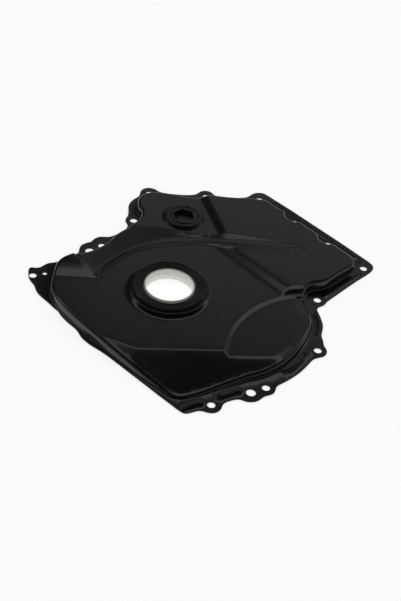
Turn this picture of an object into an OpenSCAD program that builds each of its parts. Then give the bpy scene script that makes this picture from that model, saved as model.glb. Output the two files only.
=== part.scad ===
// Pressed steel timing cover with a crank seal, its fitting sleeve and an inspection plug.
// The cover lies on its flange: the gasket side looks down, the outside looks up.

/* [Plan] */
// Distance from the crank axis down to the sump edge, which the plan outlines follow
sump_drop = 100; // [80:1:125]

/* [Sheet] */
// Thickness of the pressed sheet
sheet = 1.5; // [1:0.1:2.2]
// Rise of the highest plateau above the flange
plateau_rise = 11.5; // [10:0.25:16]
// Rise of the main floor around the crank seal
floor_rise = 9.5; // [8:0.25:13]
// Rise of the oval pocket floor
pocket_rise = 8; // [6.5:0.25:11]
// Rise of the shelf that carries the inspection plug
shelf_rise = 9.75; // [8:0.25:13]
// Radius of the rounded edge where a wall turns into a plateau
shoulder_r = 3; // [2:0.25:4]
// Radius of the bend where a wall leaves the flange
root_r = 1.8; // [1:0.1:2.5]
// Draft of a wall over its whole height
wall_draft = 0.5; // [0:0.1:1.2]
// Height of the stiffening beads on the flange
bead_h = 0.8; // [0.4:0.1:1.5]
// Width of the stiffening beads
bead_w = 3; // [2:0.25:5]

/* [Holes] */
// Diameter of the bolt holes
bolt_hole_d = 7.6; // [6:0.1:9]
// Diameter of the larger locating holes
dowel_hole_d = 9.2; // [7:0.1:11]
// Diameter of the drain gap beside the corner lug
gap_d = 4.4; // [3:0.1:5]

/* [Pocket] */
// Radius of the arc that the pocket's inner rim follows, at the pocket floor
pocket_r = 94.9; // [85:0.1:105]
// Run of the pocket rim for each unit of rise, up to the main floor
rim_run = 3.4; // [2:0.1:5]
// Run of the pocket rim for each unit of rise, above the main floor
high_rim_run = 5; // [3:0.1:7]

/* [Slopes] */
// Tilt of the large triangular slope below the main floor, in degrees
chin_tilt = 8.9; // [7:0.1:10]
// Length over which the plateau steps down to the main floor
step_run = 16.3; // [10:0.5:24]
// Length over which the plateau steps down to the plug shelf
band_run = 16; // [8:0.5:24]
// Radius of the corner dome, seen from above
dome_r = 16; // [12:0.5:20]
// Height of the corner dome above the main floor
dome_h = 2.4; // [1:0.1:4]

/* [Seal] */
// Radial width of the crank seal, from the sleeve to the collar
seal_w = 9.8; // [8:0.1:12]
// Height of the seal collar above the main floor
collar_h = 8; // [6:0.25:12]
// Run of the collar's concave bend, from its wall to the main floor
collar_run = 8; // [6:0.5:11]
// Radius of the collar's outer edge
collar_edge_r = 1.2; // [0.5:0.1:1.4]
// Height of the crank seal
seal_h = 10; // [8:0.5:12]
// Step of the seal face below the collar's edge
seal_step = 0.8; // [0.3:0.1:1.5]
// Depth of the ring grooves in the seal face
groove_h = 1.2; // [0.5:0.1:2]
// Clearance around the seal in its collar
seal_gap = 0.05; // [0.02:0.01:0.1]

/* [Sleeve] */
// Bore of the fitting sleeve
sleeve_bore = 48; // [44:0.5:50]
// Wall of the fitting sleeve
sleeve_wall = 1.6; // [1:0.1:2.4]
// Length of the fitting sleeve
sleeve_l = 13; // [11.5:0.5:18]
// Clearance between the sleeve and the seal's inner lip
sleeve_gap = 0.05; // [0.02:0.01:0.1]

/* [Plug] */
// Diameter of the raised seat around the plug
seat_d = 43; // [40:0.5:46]
// Height of the raised seat
seat_h = 1.6; // [1:0.1:2.5]
// Diameter of the plug's hole
plug_hole_d = 34; // [30:0.5:36]
// Diameter of the plug's head
plug_head_d = 40; // [38:0.5:41]
// Thickness of the plug's head
plug_head_h = 1.8; // [1.2:0.1:3]
// Size of the plug's hexagon recess across its corners
hex_d = 21; // [16:0.5:24]
// Depth of the hexagon recess
hex_h = 5; // [3:0.25:6]
// Reach of the plug below its seat
plug_reach = 8; // [6.5:0.25:10]
// Clearance around the plug in its hole
plug_gap = 0.05; // [0.02:0.01:0.1]

/* [Hidden] */
$fn = 96;
over = sheet;
cap_z = 3 * plateau_rise;
floor_z = sheet + floor_rise;
plateau_z = sheet + plateau_rise;
pocket_z = sheet + pocket_rise;
shelf_z = sheet + shelf_rise;
rim_z = floor_z + collar_h;
seat_z = shelf_z + seat_h;
seal_d = sleeve_bore + 2 * (sleeve_wall + sleeve_gap + seal_w + seal_gap);
collar_foot_r = seal_d / 2 + sheet + collar_run;
span = 4 * sump_drop;

// The body wall's root, clockwise from the top left corner: x, y, wall height.
// Places are shares of the sump drop, heights are shares of the plateau's rise.
wall_shares = [
  [-0.500, 1.935, 1.00], [-0.340, 1.942, 1.00],
  [-0.194, 1.946, 1.00], [-0.158, 1.904, 1.00], [-0.096, 1.884, 1.00], [-0.034, 1.904, 1.00],
  [0.002, 1.946, 1.00], [0.150, 1.944, 1.00],
  [0.301, 1.941, 1.00], [0.337, 1.899, 1.00], [0.399, 1.879, 1.00], [0.461, 1.899, 1.00],
  [0.497, 1.941, 1.00], [0.620, 1.943, 1.00],
  [0.770, 1.935, 1.00], [0.840, 1.910, 1.00], [0.884, 1.865, 1.00], [0.897, 1.800, 1.00],
  [0.898, 1.650, 1.00], [0.903, 1.480, 1.00], [0.900, 1.390, 1.00], [0.875, 1.315, 1.00],
  [0.848, 1.260, 1.00], [0.837, 1.200, 0.97], [0.850, 1.135, 0.86], [0.894, 1.063, 0.74],
  [0.954, 1.003, 0.71], [1.034, 0.958, 0.70], [1.114, 0.913, 0.70], [1.174, 0.868, 0.70],
  [1.224, 0.810, 0.70], [1.274, 0.723, 0.70], [1.324, 0.623, 0.70], [1.364, 0.523, 0.70],
  [1.394, 0.423, 0.70], [1.414, 0.323, 0.70], [1.429, 0.223, 0.69], [1.430, 0.123, 0.65],
  [1.419, 0.023, 0.59], [1.394, -0.077, 0.53], [1.354, -0.177, 0.48], [1.324, -0.277, 0.43],
  [1.294, -0.377, 0.37], [1.264, -0.477, 0.32], [1.234, -0.577, 0.26], [1.204, -0.677, 0.21],
  [1.162, -0.780, 0.16], [1.118, -0.868, 0.13], [1.050, -0.920, 0.14], [0.920, -0.943, 0.24],
  [0.780, -0.964, 0.37], [0.620, -0.980, 0.52], [0.460, -0.990, 0.69], [0.320, -0.996, 0.82],
  [0.200, -1.000, 0.83], [0.040, -1.003, 0.83], [-0.120, -1.003, 0.83], [-0.280, -1.000, 0.83],
  [-0.440, -0.990, 0.83], [-0.580, -0.972, 0.83], [-0.690, -0.947, 0.83], [-0.780, -0.902, 0.83],
  [-0.850, -0.840, 0.83], [-0.920, -0.762, 0.83], [-0.985, -0.690, 0.83], [-1.035, -0.622, 0.83],
  [-1.062, -0.540, 0.83], [-1.062, -0.450, 0.83], [-1.040, -0.370, 0.85], [-1.008, -0.300, 0.87],
  [-0.990, -0.220, 0.87], [-0.984, -0.130, 0.86], [-0.988, -0.040, 0.86], [-0.998, 0.030, 0.85],
  [-1.020, 0.100, 0.85], [-1.043, 0.170, 0.85], [-1.053, 0.250, 0.84], [-1.060, 0.340, 0.84],
  [-1.075, 0.430, 0.84], [-1.093, 0.515, 0.83], [-1.123, 0.580, 0.83], [-1.158, 0.625, 0.83],
  [-1.205, 0.659, 0.83], [-1.275, 0.680, 0.83], [-1.333, 0.722, 0.83], [-1.383, 0.777, 0.83],
  [-1.413, 0.835, 0.83], [-1.424, 0.895, 0.83], [-1.415, 0.965, 0.83], [-1.385, 1.030, 0.83],
  [-1.330, 1.090, 0.83], [-1.232, 1.173, 0.83], [-1.072, 1.293, 0.84], [-1.010, 1.360, 0.88],
  [-0.986, 1.430, 0.95], [-0.945, 1.500, 1.00], [-0.842, 1.593, 1.00], [-0.672, 1.773, 1.00],
  [-0.585, 1.870, 1.00]
];

// The flange's outer line, clockwise from the top left corner, as shares of the sump drop.
flange_shares = [
  [-0.696, 2.118], [0.894, 2.118], [0.960, 2.095], [0.991, 2.030], [1.000, 1.750], [1.024, 1.293],
  [1.030, 1.110], [1.054, 1.073], [1.114, 1.043], [1.174, 1.003], [1.254, 0.943], [1.304, 0.873],
  [1.344, 0.813], [1.404, 0.778], [1.534, 0.583], [1.514, 0.540], [1.514, 0.493], [1.529, 0.423],
  [1.544, 0.343], [1.554, 0.263], [1.556, 0.163], [1.549, 0.043], [1.539, -0.017], [1.559, -0.237],
  [1.514, -0.402], [1.434, -0.432], [1.414, -0.477], [1.394, -0.537], [1.384, -0.567],
  [1.399, -0.607], [1.364, -0.787], [1.324, -0.802], [1.304, -0.837], [1.284, -0.897],
  [1.269, -0.942], [1.244, -0.957], [1.054, -0.972], [0.654, -0.992], [0.254, -1.012],
  [0.164, -1.022], [0.080, -1.039], [-0.016, -1.047], [-0.116, -1.039], [-0.173, -1.016],
  [-0.366, -1.013], [-0.476, -1.000], [-0.530, -0.982], [-0.560, -0.990], [-0.646, -0.984],
  [-0.846, -0.981], [-0.906, -0.964], [-0.980, -0.929], [-1.035, -0.924], [-1.100, -0.905],
  [-1.165, -0.860], [-1.225, -0.794], [-1.161, -0.748], [-1.155, -0.708], [-1.164, -0.612],
  [-1.122, -0.536], [-1.122, -0.400], [-1.106, -0.307], [-1.111, -0.257], [-1.130, 0.150],
  [-1.121, 0.173], [-1.118, 0.393], [-1.156, 0.458], [-1.186, 0.488], [-1.236, 0.520],
  [-1.296, 0.583], [-1.346, 0.633], [-1.446, 0.723], [-1.490, 0.830], [-1.501, 0.928],
  [-1.540, 0.980], [-1.480, 1.150], [-1.416, 1.163], [-1.146, 1.443], [-1.130, 1.590],
  [-0.996, 1.625], [-0.946, 1.643], [-0.756, 1.893], [-0.756, 1.943], [-0.766, 2.023],
  [-0.736, 2.080]
];

// Round lugs of the flange: x, y, radius, as shares of the sump drop.
lug_shares = [
  [0.950, 1.195, 0.096], [1.458, 0.632, 0.093], [1.495, -0.136, 0.094], [1.450, -0.291, 0.116],
  [1.333, -0.688, 0.100], [-1.191, 0.573, 0.092], [-1.472, 1.055, 0.107], [-1.061, 1.543, 0.095],
  [-1.075, 0.045, 0.123], [-1.070, -0.120, 0.126]
];

// Centres of the bolt holes and of the larger locating holes, as shares of the sump drop.
bolt_shares = [
  [-0.638, 1.985], [-0.096, 1.990], [0.399, 1.990], [0.909, 1.985], [0.950, 1.195],
  [1.458, 0.632], [1.495, -0.136], [1.333, -0.688], [-1.191, 0.573], [-1.058, 0.016],
  [-1.099, -0.852], [-1.472, 1.055], [-1.046, 1.533]
];
dowel_shares = [[1.450, -0.291], [-1.066, -0.142]];
gap_share = [-1.050, -0.740];

// Stiffening beads of the flange, each a run of points, as shares of the sump drop.
bead_shares = [
  [[0.944, 1.873], [0.956, 1.600], [0.969, 1.323]],
  [[1.084, 1.013], [1.174, 0.963], [1.254, 0.873], [1.324, 0.773]],
  [[1.434, 0.503], [1.464, 0.403], [1.479, 0.283], [1.484, 0.143]],
  [[1.364, -0.377], [1.344, -0.477], [1.314, -0.557]],
  [[1.254, -0.757], [1.224, -0.897]],
  [[-0.480, 2.060], [0.740, 2.060]]
];

// Stations of the valley that parts the main floor from the shelf. Each row holds the
// foot, the bank on the crank side and the far bank, as x, y and height shares.
valley_shares = [
  [[-0.820, -0.450, 0.810], [-0.680, -0.460, 0.865], [-1.250, -0.450, 1.078]],
  [[-0.805, -0.200, 0.757], [-0.560, -0.220, 0.861], [-1.250, -0.200, 1.043]],
  [[-0.800, 0.013, 0.713], [-0.612, 0.020, 0.878], [-1.250, 0.013, 1.026]],
  [[-0.794, 0.189, 0.670], [-0.617, 0.159, 0.887], [-1.280, 0.190, 1.009]],
  [[-0.747, 0.353, 0.635], [-0.580, 0.303, 0.896], [-1.300, 0.350, 1.009]],
  [[-0.709, 0.492, 0.617], [-0.534, 0.431, 0.896], [-1.060, 0.440, 0.861]],
  [[-0.617, 0.697, 0.661], [-0.495, 0.575, 0.896], [-0.670, 0.765, 0.843]],
  [[-0.544, 0.803, 0.670], [-0.412, 0.666, 0.896], [-0.595, 0.880, 0.843]],
  [[-0.467, 0.907, 0.670], [-0.347, 0.781, 0.896], [-0.500, 1.030, 0.861]],
  [[-0.377, 0.985, 0.687], [-0.250, 0.888, 0.913], [-0.401, 1.173, 0.991]],
  [[-0.240, 1.125, 0.739], [-0.078, 1.045, 1.043], [-0.271, 1.293, 1.017]],
  [[0.060, 1.400, 0.878], [0.198, 1.350, 1.043], [0.040, 1.498, 1.026]],
  [[0.368, 1.688, 0.996], [0.430, 1.660, 1.035], [0.349, 1.715, 1.035]]
];

// Plan of the raised part: shelf, plateaus and far slope, as shares of the sump drop.
upper_shares = [
  [-2.000, -0.380], [-0.760, -0.380], [-0.740, 0.200], [-0.660, 0.480], [-0.500, 0.740],
  [-0.340, 0.930], [-0.320, 0.840], [2.000, 0.840], [2.000, 2.300], [-2.000, 2.300]
];

pocket_share = [1.696, 0.497];
chin_share = [0.983, -0.140];
chin_turn = -39.8;
step_share = 0.860;
band_share = [-0.626, 1.230];
band_turn = -26.1;
dome_share = [-0.855, -0.553];
plug_share = [-0.806, 0.945];

plug_at = plug_share * sump_drop;
centre = [
  sump_drop * (max([for (q = lug_shares) q.x + q.z]) + min([for (q = lug_shares) q.x - q.z])) / 2,
  sump_drop * (max([for (p = flange_shares) p.y]) + min([for (p = flange_shares) p.y])) / 2
];

function wrap(i, n) = (i + n) % n;
function flat(p) = [p.x, p.y];
function unit(v) = v / norm(v);
function inward(v) = [v.y, -v.x];

// Direction that moves a corner inward so that both of its edges move by one unit.
function mitre(rows, i) =
  let (
    n = len(rows),
    a = inward(unit(flat(rows[i]) - flat(rows[wrap(i - 1, n)]))),
    b = inward(unit(flat(rows[wrap(i + 1, n)]) - flat(rows[i])))
  ) (a + b) / (1 + a * b);

function inset(rows, d) =
  [for (i = [0:len(rows) - 1]) sump_drop * flat(rows[i]) + d * mitre(rows, i)];

// Wall section at one corner, as pairs of inset and height, for the outside (back = 0)
// or for the inside, which lies one sheet deeper.
function wall_section(rise, back) =
  let (
    f = min(root_r, rise * 0.45),
    r = min(shoulder_r, rise * 0.45),
    top = sheet - back + rise + sheet * 0.04,
    low = back > 0 ? -over : sheet / 2
  ) [
    [back - 1.3 * f, low],
    [back - 0.35 * f, sheet - back + 0.35 * f],
    [back + 0.05 * f, sheet - back + f],
    [back + wall_draft, top - r],
    [back + wall_draft + 0.3 * r, top - 0.45 * r],
    [back + wall_draft + 0.8 * r, top - 0.1 * r],
    [back + wall_draft + 1.3 * r, top],
    [back + wall_draft + 1.3 * shoulder_r, cap_z],
    [back + wall_draft + 1.8 * shoulder_r, cap_z],
    [back + wall_draft + 1.8 * shoulder_r, low]
  ];

// Closed ring swept along the wall line, with a wall section at every corner.
module wall_ring(back) {
  n = len(wall_shares);
  k = len(wall_section(plateau_rise, back));
  points = [
    for (i = [0:n - 1])
      let (
        at = sump_drop * flat(wall_shares[i]),
        way = mitre(wall_shares, i),
        cut = wall_section(wall_shares[i].z * plateau_rise, back)
      )
      for (c = cut) [at.x + way.x * c.x, at.y + way.y * c.x, c.y]
  ];
  faces = [
    for (i = [0:n - 1])
      for (j = [0:k - 1])
        let (
          a = i * k + j,
          b = i * k + (j + 1) % k,
          c = wrap(i + 1, n) * k + (j + 1) % k,
          d = wrap(i + 1, n) * k + j
        )
        each [[a, c, b], [a, d, c]]
  ];
  polyhedron(points, faces, convexity = 10);
}

// Everything inside the wall line, up to the rounded shoulder.
module wall_block(back) {
  low = back > 0 ? -over : sheet / 2;
  wall_ring(back);
  translate([0, 0, low])
    linear_extrude(cap_z - low)
      polygon(inset(wall_shares, back + wall_draft + 1.55 * shoulder_r));
}

// Cutter with a V floor that runs through the valley stations.
module valley() {
  n = len(valley_shares);
  points = [
    for (row = valley_shares)
      let (
        p = [for (s = row) [s.x * sump_drop, s.y * sump_drop, sheet + s.z * plateau_rise]]
      )
      each [p[2], p[0], p[1], [p[1].x, p[1].y, cap_z], [p[2].x, p[2].y, cap_z]]
  ];
  sides = [
    for (i = [0:n - 2])
      for (j = [0:4])
        let (
          a = 5 * i + j,
          b = 5 * i + (j + 1) % 5,
          c = 5 * (i + 1) + (j + 1) % 5,
          d = 5 * (i + 1) + j
        )
        each [[a, b, c], [a, c, d]]
  ];
  first = [[1, 0, 4], [1, 4, 3], [1, 3, 2]];
  last = [for (t = first) [for (v = [t[0], t[2], t[1]]) v + 5 * (n - 1)]];
  polyhedron(points, concat(sides, first, last), convexity = 6);
}

// Cutter of the oval pocket: a cone up to the main floor, then a flatter one.
module pocket() {
  low_r = pocket_r;
  mid_z = floor_z + sheet * 0.1;
  mid_r = low_r + rim_run * (mid_z - pocket_z);
  top_z = plateau_z + plateau_rise;
  top_r = mid_r + high_rim_run * (top_z - mid_z);
  translate(concat(pocket_share * sump_drop, pocket_z)) {
    cylinder(h = mid_z - pocket_z, r1 = low_r, r2 = mid_r);
    translate([0, 0, mid_z - pocket_z])
      cylinder(h = top_z - mid_z, r1 = mid_r, r2 = top_r);
  }
}

// Cutter of the large slope between the main floor and the lower right corner.
module chin() {
  translate(concat(chin_share * sump_drop, floor_z))
    rotate([0, 0, chin_turn])
      rotate([0, chin_tilt, 0])
        translate([-sump_drop / 4, -span / 2, 0])
          cube([span, span, cap_z]);
}

// Cutter that lays a straight slope from the plateau down to the main floor.
module step_slope() {
  rise = plateau_z - floor_z;
  tilt = atan(rise / step_run);
  translate([0, step_share * sump_drop, floor_z])
    rotate([tilt, 0, 0])
      translate([-sump_drop * 0.6, -sump_drop / 4, 0])
        cube([span / 2, sump_drop / 4 + 2 * step_run, cap_z]);
}

// Cutter that lowers the shelf of the plug, with a soft edge to the plateau.
module shelf_cut() {
  rise = plateau_z - shelf_z;
  translate(concat(band_share * sump_drop, 0))
    rotate([0, 0, band_turn])
      rotate([90, 0, 90])
        translate([0, 0, -sump_drop])
          linear_extrude(sump_drop * 1.3)
            polygon([
              [-2 * sump_drop, shelf_z], [-band_run / 2, shelf_z],
              [1.5 * band_run, shelf_z + 2 * rise], [1.5 * band_run, cap_z],
              [-2 * sump_drop, cap_z]
            ]);
}

// Low round dome near the lower left corner.
module dome() {
  r = (dome_r * dome_r + dome_h * dome_h) / (2 * dome_h);
  translate(concat(dome_share * sump_drop, floor_z + dome_h - r))
    intersection() {
      sphere(r);
      translate([0, 0, r - dome_h - sheet])
        cylinder(h = dome_h + 2 * sheet, r = 1.3 * dome_r);
    }
}

// Upper surface of the pressing, as everything below it.
module relief() {
  difference() {
    union() {
      translate([-span / 2, -span / 2, -2 * over])
        cube([span, span, floor_z + 2 * over]);
      difference() {
        linear_extrude(plateau_z) polygon(upper_shares * sump_drop);
        step_slope();
        shelf_cut();
      }
    }
    valley();
    pocket();
    chin();
  }
  dome();
}

module flange_plate() {
  linear_extrude(sheet) {
    polygon(flange_shares * sump_drop);
    for (q = lug_shares)
      translate([q.x, q.y] * sump_drop) circle(r = q.z * sump_drop);
  }
}

// Low stiffening bead along a run of points, with pointed ends.
module bead(run) {
  n = len(run);
  way = [for (i = [0:n - 1]) unit(run[min(i + 1, n - 1)] - run[max(i - 1, 0)])];
  side = [for (w = way) inward(w) * bead_w / 2];
  translate([0, 0, sheet / 2])
    linear_extrude(sheet / 2 + bead_h)
      polygon(concat(
        [run[0] * sump_drop - way[0] * bead_w / 2],
        [for (i = [0:n - 1]) run[i] * sump_drop - side[i]],
        [run[n - 1] * sump_drop + way[n - 1] * bead_w / 2],
        [for (i = [n - 1:-1:0]) run[i] * sump_drop + side[i]]
      ));
}

// Collar that holds the seal, outside only, with its concave bend to the floor.
module collar() {
  wall_r = seal_d / 2 + sheet;
  bend = collar_foot_r - wall_r - wall_draft;
  bend_h = collar_h * 0.45;
  rotate_extrude()
    polygon(concat(
      [[seal_d / 2, floor_z - sheet / 2], [collar_foot_r, floor_z - sheet / 2]],
      [for (a = [0:15:90])
        [wall_r + wall_draft + bend * (1 - sin(a)), floor_z + bend_h * (1 - cos(a))]],
      [for (a = [0:15:90])
        [wall_r - collar_edge_r * (1 - cos(a)), rim_z - collar_edge_r * (1 - sin(a))]],
      [[seal_d / 2, rim_z]]
    ));
}

// Flare on the inside of the collar's bend, and the bore that takes the seal.
module collar_bore() {
  bend = collar_foot_r - seal_d / 2 - sheet;
  bend_h = collar_h * 0.4;
  rotate_extrude()
    polygon(concat(
      [[0, -over], [collar_foot_r - sheet, -over], [collar_foot_r - sheet, floor_z - sheet]],
      [for (a = [15:15:90])
        [seal_d / 2 + bend * (1 - sin(a)), floor_z - sheet + bend_h * (1 - cos(a))]],
      [[seal_d / 2, rim_z + over], [0, rim_z + over]]
    ));
}

module plug_seat() {
  translate(concat(plug_at, 0))
    rotate_extrude()
      polygon([
        [plug_hole_d / 2, shelf_z - sheet], [seat_d / 2 + seat_h, shelf_z - sheet],
        [seat_d / 2 + seat_h * 0.4, shelf_z + seat_h * 0.2], [seat_d / 2, seat_z - seat_h * 0.2],
        [seat_d / 2 - seat_h * 0.4, seat_z], [plug_hole_d / 2, seat_z]
      ]);
}

module cover() {
  translate([-centre.x, -centre.y, 0])
    color("#2b2b29")
      difference() {
        union() {
          flange_plate();
          intersection() {
            wall_block(0);
            relief();
          }
          for (run = bead_shares) bead(run);
          collar();
          plug_seat();
        }
        intersection() {
          wall_block(sheet);
          translate([0, 0, -sheet]) relief();
        }
        collar_bore();
        translate(concat(plug_at, 0))
          cylinder(h = seat_z + over, d = plug_hole_d);
        for (p = bolt_shares)
          translate([p.x * sump_drop, p.y * sump_drop, -over])
            cylinder(h = 3 * sheet + over, d = bolt_hole_d);
        for (p = dowel_shares)
          translate([p.x * sump_drop, p.y * sump_drop, -over])
            cylinder(h = 3 * sheet + over, d = dowel_hole_d);
        translate([gap_share.x * sump_drop, gap_share.y * sump_drop, -over])
          cylinder(h = 3 * sheet + over, d = gap_d);
      }
}

// Black rubber seal: a rim in the collar, ring grooves and an inner lip on the sleeve.
module shaft_seal() {
  out_r = seal_d / 2 - seal_gap;
  in_r = sleeve_bore / 2 + sleeve_wall + sleeve_gap;
  top = rim_z - seal_step;
  w = out_r - in_r;
  translate([-centre.x, -centre.y, 0])
    color("#1c1c1c")
      rotate_extrude()
        polygon([
          [out_r, top - seal_h], [out_r, top - groove_h * 0.4], [out_r - w * 0.05, top],
          [out_r - w * 0.26, top], [out_r - w * 0.32, top - groove_h],
          [out_r - w * 0.44, top - groove_h], [out_r - w * 0.50, top - groove_h * 0.3],
          [out_r - w * 0.60, top - groove_h * 0.3], [out_r - w * 0.66, top - groove_h],
          [out_r - w * 0.76, top - groove_h], [out_r - w * 0.82, top - groove_h * 0.5],
          [in_r, top - groove_h * 0.7], [in_r, top - seal_h * 0.7],
          [in_r + w * 0.35, top - seal_h]
        ]);
}

// White sleeve that keeps the seal's lip open until the cover is fitted.
module fitting_sleeve() {
  r = sleeve_bore / 2;
  translate([-centre.x, -centre.y, 0])
    color("#e9e9e6")
      rotate_extrude()
        polygon([
          [r, rim_z - sleeve_l], [r + sleeve_wall, rim_z - sleeve_l],
          [r + sleeve_wall, rim_z - sleeve_wall * 0.3], [r + sleeve_wall * 0.7, rim_z],
          [r + sleeve_wall * 0.3, rim_z], [r, rim_z - sleeve_wall * 0.3]
        ]);
}

// Black plug with a rounded head, a raised inner ring and a hexagon recess.
module inspection_plug() {
  head_r = plug_head_d / 2;
  body_r = plug_hole_d / 2 - plug_gap;
  ring_r = (head_r + hex_d / 2) / 2;
  top = seat_z + plug_head_h;
  translate([-centre.x + plug_at.x, -centre.y + plug_at.y, 0])
    color("#232322")
      difference() {
        rotate_extrude()
          polygon([
            [0, seat_z - plug_reach], [body_r - plug_head_h / 2, seat_z - plug_reach],
            [body_r, seat_z - plug_reach + plug_head_h / 2], [body_r, seat_z],
            [head_r, seat_z], [head_r, top - plug_head_h * 0.45],
            [head_r - plug_head_h * 0.4, top], [ring_r + plug_head_h * 0.5, top],
            [ring_r, top - plug_head_h * 0.35], [ring_r - plug_head_h * 0.7, top - plug_head_h * 0.35],
            [ring_r - plug_head_h * 1.2, top + plug_head_h * 0.1], [0, top + plug_head_h * 0.1]
          ]);
        translate([0, 0, top - hex_h])
          cylinder(h = hex_h + over, d = hex_d, $fn = 6);
      }
}

cover();
shaft_seal();
fitting_sleeve();
inspection_plug();
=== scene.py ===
import math

import bpy
import numpy as np
from mathutils import Matrix, Vector
from mathutils.geometry import delaunay_2d_cdt


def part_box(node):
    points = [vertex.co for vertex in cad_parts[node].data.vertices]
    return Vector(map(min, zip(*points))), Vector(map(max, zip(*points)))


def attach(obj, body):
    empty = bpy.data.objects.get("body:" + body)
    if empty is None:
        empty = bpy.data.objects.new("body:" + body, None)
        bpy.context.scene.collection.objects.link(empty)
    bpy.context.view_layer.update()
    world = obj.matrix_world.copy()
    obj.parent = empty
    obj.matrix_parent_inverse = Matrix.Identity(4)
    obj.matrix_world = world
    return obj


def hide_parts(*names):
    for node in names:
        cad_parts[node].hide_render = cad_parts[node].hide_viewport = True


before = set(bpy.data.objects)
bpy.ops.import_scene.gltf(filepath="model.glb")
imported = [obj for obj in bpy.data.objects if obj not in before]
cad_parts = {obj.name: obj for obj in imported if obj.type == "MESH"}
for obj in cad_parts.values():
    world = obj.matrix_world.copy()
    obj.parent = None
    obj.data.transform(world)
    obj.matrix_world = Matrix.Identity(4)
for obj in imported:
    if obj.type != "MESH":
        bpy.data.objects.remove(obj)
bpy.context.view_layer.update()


# The cover's outline and body wall.
# The real cover is one blank of 1.5 mm steel: a flat flange with round bolt lugs is cut around
# a body that the press draws up. Places are in millimetres from the crank axis.
SHEET = 1.5
ROOT_R = 1.8
SHOULDER_R = 3.2
SHOULDER_END = 5.6
STEEP = math.radians(87)

seal_low, seal_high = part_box("shaft_seal")
crank = ((seal_low + seal_high) / 2).to_2d()

wall_points = [
    (-50.0, 193.5), (-34.0, 194.2), (-19.4, 194.6), (-15.8, 190.4), (-9.6, 188.4), (-3.4, 190.4),
    (0.2, 194.6), (15.0, 194.4), (30.1, 194.1), (33.7, 189.9), (39.9, 187.9), (46.1, 189.9),
    (49.7, 194.1), (62.0, 194.3), (77.0, 193.5), (84.0, 191.0), (88.4, 186.5), (89.7, 180.0),
    (89.8, 165.0), (90.3, 148.0), (90.0, 139.0), (87.5, 131.5), (84.8, 126.0), (83.7, 120.0),
    (85.0, 113.5), (89.4, 106.3), (95.4, 100.3), (103.4, 95.8), (111.4, 91.3), (117.4, 86.8),
    (122.4, 81.0), (127.4, 72.3), (132.4, 62.3), (136.4, 52.3), (139.4, 42.3), (141.4, 32.3),
    (142.9, 22.3), (143.0, 12.3), (141.9, 2.3), (139.4, -7.7), (135.4, -17.7), (132.4, -27.7),
    (129.4, -37.7), (126.4, -47.7), (123.4, -57.7), (120.4, -67.7), (116.2, -78.0), (111.8, -86.8),
    (105.0, -92.0), (92.0, -94.3), (78.0, -96.4), (62.0, -98.0), (46.0, -99.0), (32.0, -99.6),
    (20.0, -100.0), (4.0, -100.3), (-12.0, -100.3), (-28.0, -100.0), (-44.0, -99.0), (-58.0, -97.2),
    (-69.0, -94.7), (-78.0, -90.2), (-85.0, -84.0), (-92.0, -76.2), (-98.5, -69.0), (-103.5, -62.2),
    (-106.2, -54.0), (-106.2, -45.0), (-104.0, -37.0), (-100.8, -30.0), (-99.0, -22.0),
    (-98.4, -13.0), (-98.8, -4.0), (-99.8, 3.0), (-102.0, 10.0), (-104.3, 17.0), (-105.3, 25.0),
    (-106.0, 34.0), (-107.5, 43.0), (-109.3, 51.5), (-112.3, 58.0), (-115.8, 62.5), (-120.5, 65.9),
    (-127.5, 68.0), (-133.3, 72.2), (-138.3, 77.7), (-141.3, 83.5), (-142.4, 89.5), (-141.5, 96.5),
    (-138.5, 103.0), (-133.0, 109.0), (-123.2, 117.3), (-107.2, 129.3), (-101.0, 136.0),
    (-98.6, 143.0), (-94.5, 150.0), (-84.2, 159.3), (-67.2, 177.3), (-58.5, 187.0)]

flange_points = [
    (-69.6, 211.8), (89.4, 211.8), (96.0, 209.5), (99.1, 203.0), (100.0, 175.0), (102.4, 129.3),
    (103.0, 111.0), (105.4, 107.3), (111.4, 104.3), (117.4, 100.3), (125.4, 94.3), (130.4, 87.3),
    (134.4, 81.3), (140.4, 77.8), (153.4, 58.3), (151.4, 54.0), (151.4, 49.3), (152.9, 42.3),
    (154.4, 34.3), (155.4, 26.3), (155.6, 16.3), (154.9, 4.3), (153.9, -1.7), (155.9, -23.7),
    (151.4, -40.2), (143.4, -43.2), (141.4, -47.7), (139.4, -53.7), (138.4, -56.7), (139.9, -60.7),
    (136.4, -78.7), (132.4, -80.2), (130.4, -83.7), (128.4, -89.7), (126.9, -94.2), (124.4, -95.7),
    (105.4, -97.2), (65.4, -99.2), (25.4, -101.2), (16.4, -102.2), (8.0, -103.9), (-1.6, -104.7),
    (-11.6, -103.9), (-17.3, -101.6), (-36.6, -101.3), (-47.6, -100.0), (-53.0, -98.2),
    (-56.0, -99.0), (-64.6, -98.4), (-84.6, -98.1), (-90.6, -96.4), (-98.0, -92.9), (-103.5, -92.4),
    (-110.0, -90.5), (-116.5, -86.0), (-122.5, -79.4), (-116.1, -74.8), (-115.5, -70.8),
    (-116.4, -61.2), (-112.2, -53.6), (-112.2, -40.0), (-110.6, -30.7), (-111.1, -25.7),
    (-113.0, 15.0), (-112.1, 17.3), (-111.8, 39.3), (-115.6, 45.8), (-118.6, 48.8), (-123.6, 52.0),
    (-129.6, 58.3), (-134.6, 63.3), (-144.6, 72.3), (-149.0, 83.0), (-150.1, 92.8), (-154.0, 98.0),
    (-148.0, 115.0), (-141.6, 116.3), (-114.6, 144.3), (-113.0, 159.0), (-99.6, 162.5),
    (-94.6, 164.3), (-75.6, 189.3), (-75.6, 194.3), (-76.6, 202.3), (-73.6, 208.0)]

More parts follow.
